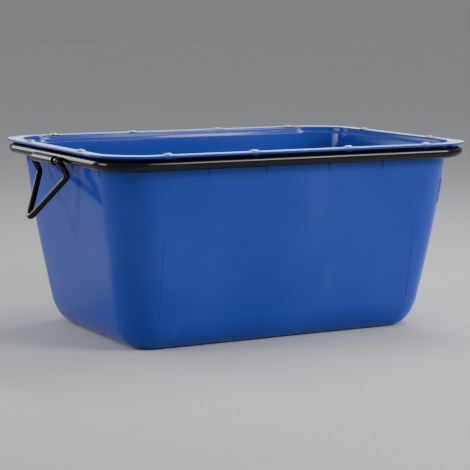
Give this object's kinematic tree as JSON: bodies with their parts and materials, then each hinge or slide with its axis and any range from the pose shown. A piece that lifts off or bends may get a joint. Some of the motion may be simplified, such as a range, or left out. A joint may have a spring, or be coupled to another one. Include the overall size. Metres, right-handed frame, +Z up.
{
  "type": "mortar tub",
  "caption": "Large tapered plastic mortar tub riveted to a steel tube frame, with a swinging lifting bail at each end for hoisting by crane.",
  "frame": {"origin": "centre of the flat base, on the floor", "axes": "+X along the length towards the right-hand bail, +Y towards the back long side, +Z up"},
  "size_m": [1.1018, 0.6964, 0.4641],
  "materials": {
    "tub_plastic": "glossy moulded polyethylene",
    "black_paint": "gloss black powder coat",
    "bare_steel": "bare mill steel inside the tube",
    "zinc": "zinc plated"
  },
  "bodies": {
    "tub_and_frame": {"tub": "tub_plastic", "frame_tube_left": "black_paint", "frame_tube_right": "black_paint", "frame_spigot_front": "bare_steel", "frame_spigot_back": "bare_steel", "frame_weld_front": "black_paint", "frame_weld_back": "black_paint", "hinge_barrel_left": "black_paint", "hinge_barrel_right": "black_paint", "barrel_weld_left": "black_paint", "barrel_weld_right": "black_paint", "washers_front": "zinc", "washers_back": "zinc", "washers_left": "zinc", "washers_right": "zinc", "rivets_front": "zinc", "rivets_back": "zinc", "rivets_left": "zinc", "rivets_right": "zinc", "rivet_pins_front": "bare_steel", "rivet_pins_back": "bare_steel", "rivet_pins_left": "bare_steel", "rivet_pins_right": "bare_steel"},
    "left_bail": {"bail_left": "black_paint"},
    "right_bail": {"bail_right": "black_paint"}
  },
  "joints": [
    {"name": "left_bail_swing", "type": "hinge", "parent": "tub_and_frame", "child": "left_bail", "pos_m": [-0.50419, 0, 0.43155], "axis": [0, 1, 0], "range_deg": [-10, 190]},
    {"name": "right_bail_swing", "type": "hinge", "parent": "tub_and_frame", "child": "right_bail", "pos_m": [0.50419, 0, 0.43155], "axis": [0, -1, 0], "range_deg": [-10, 190]}
  ]
}
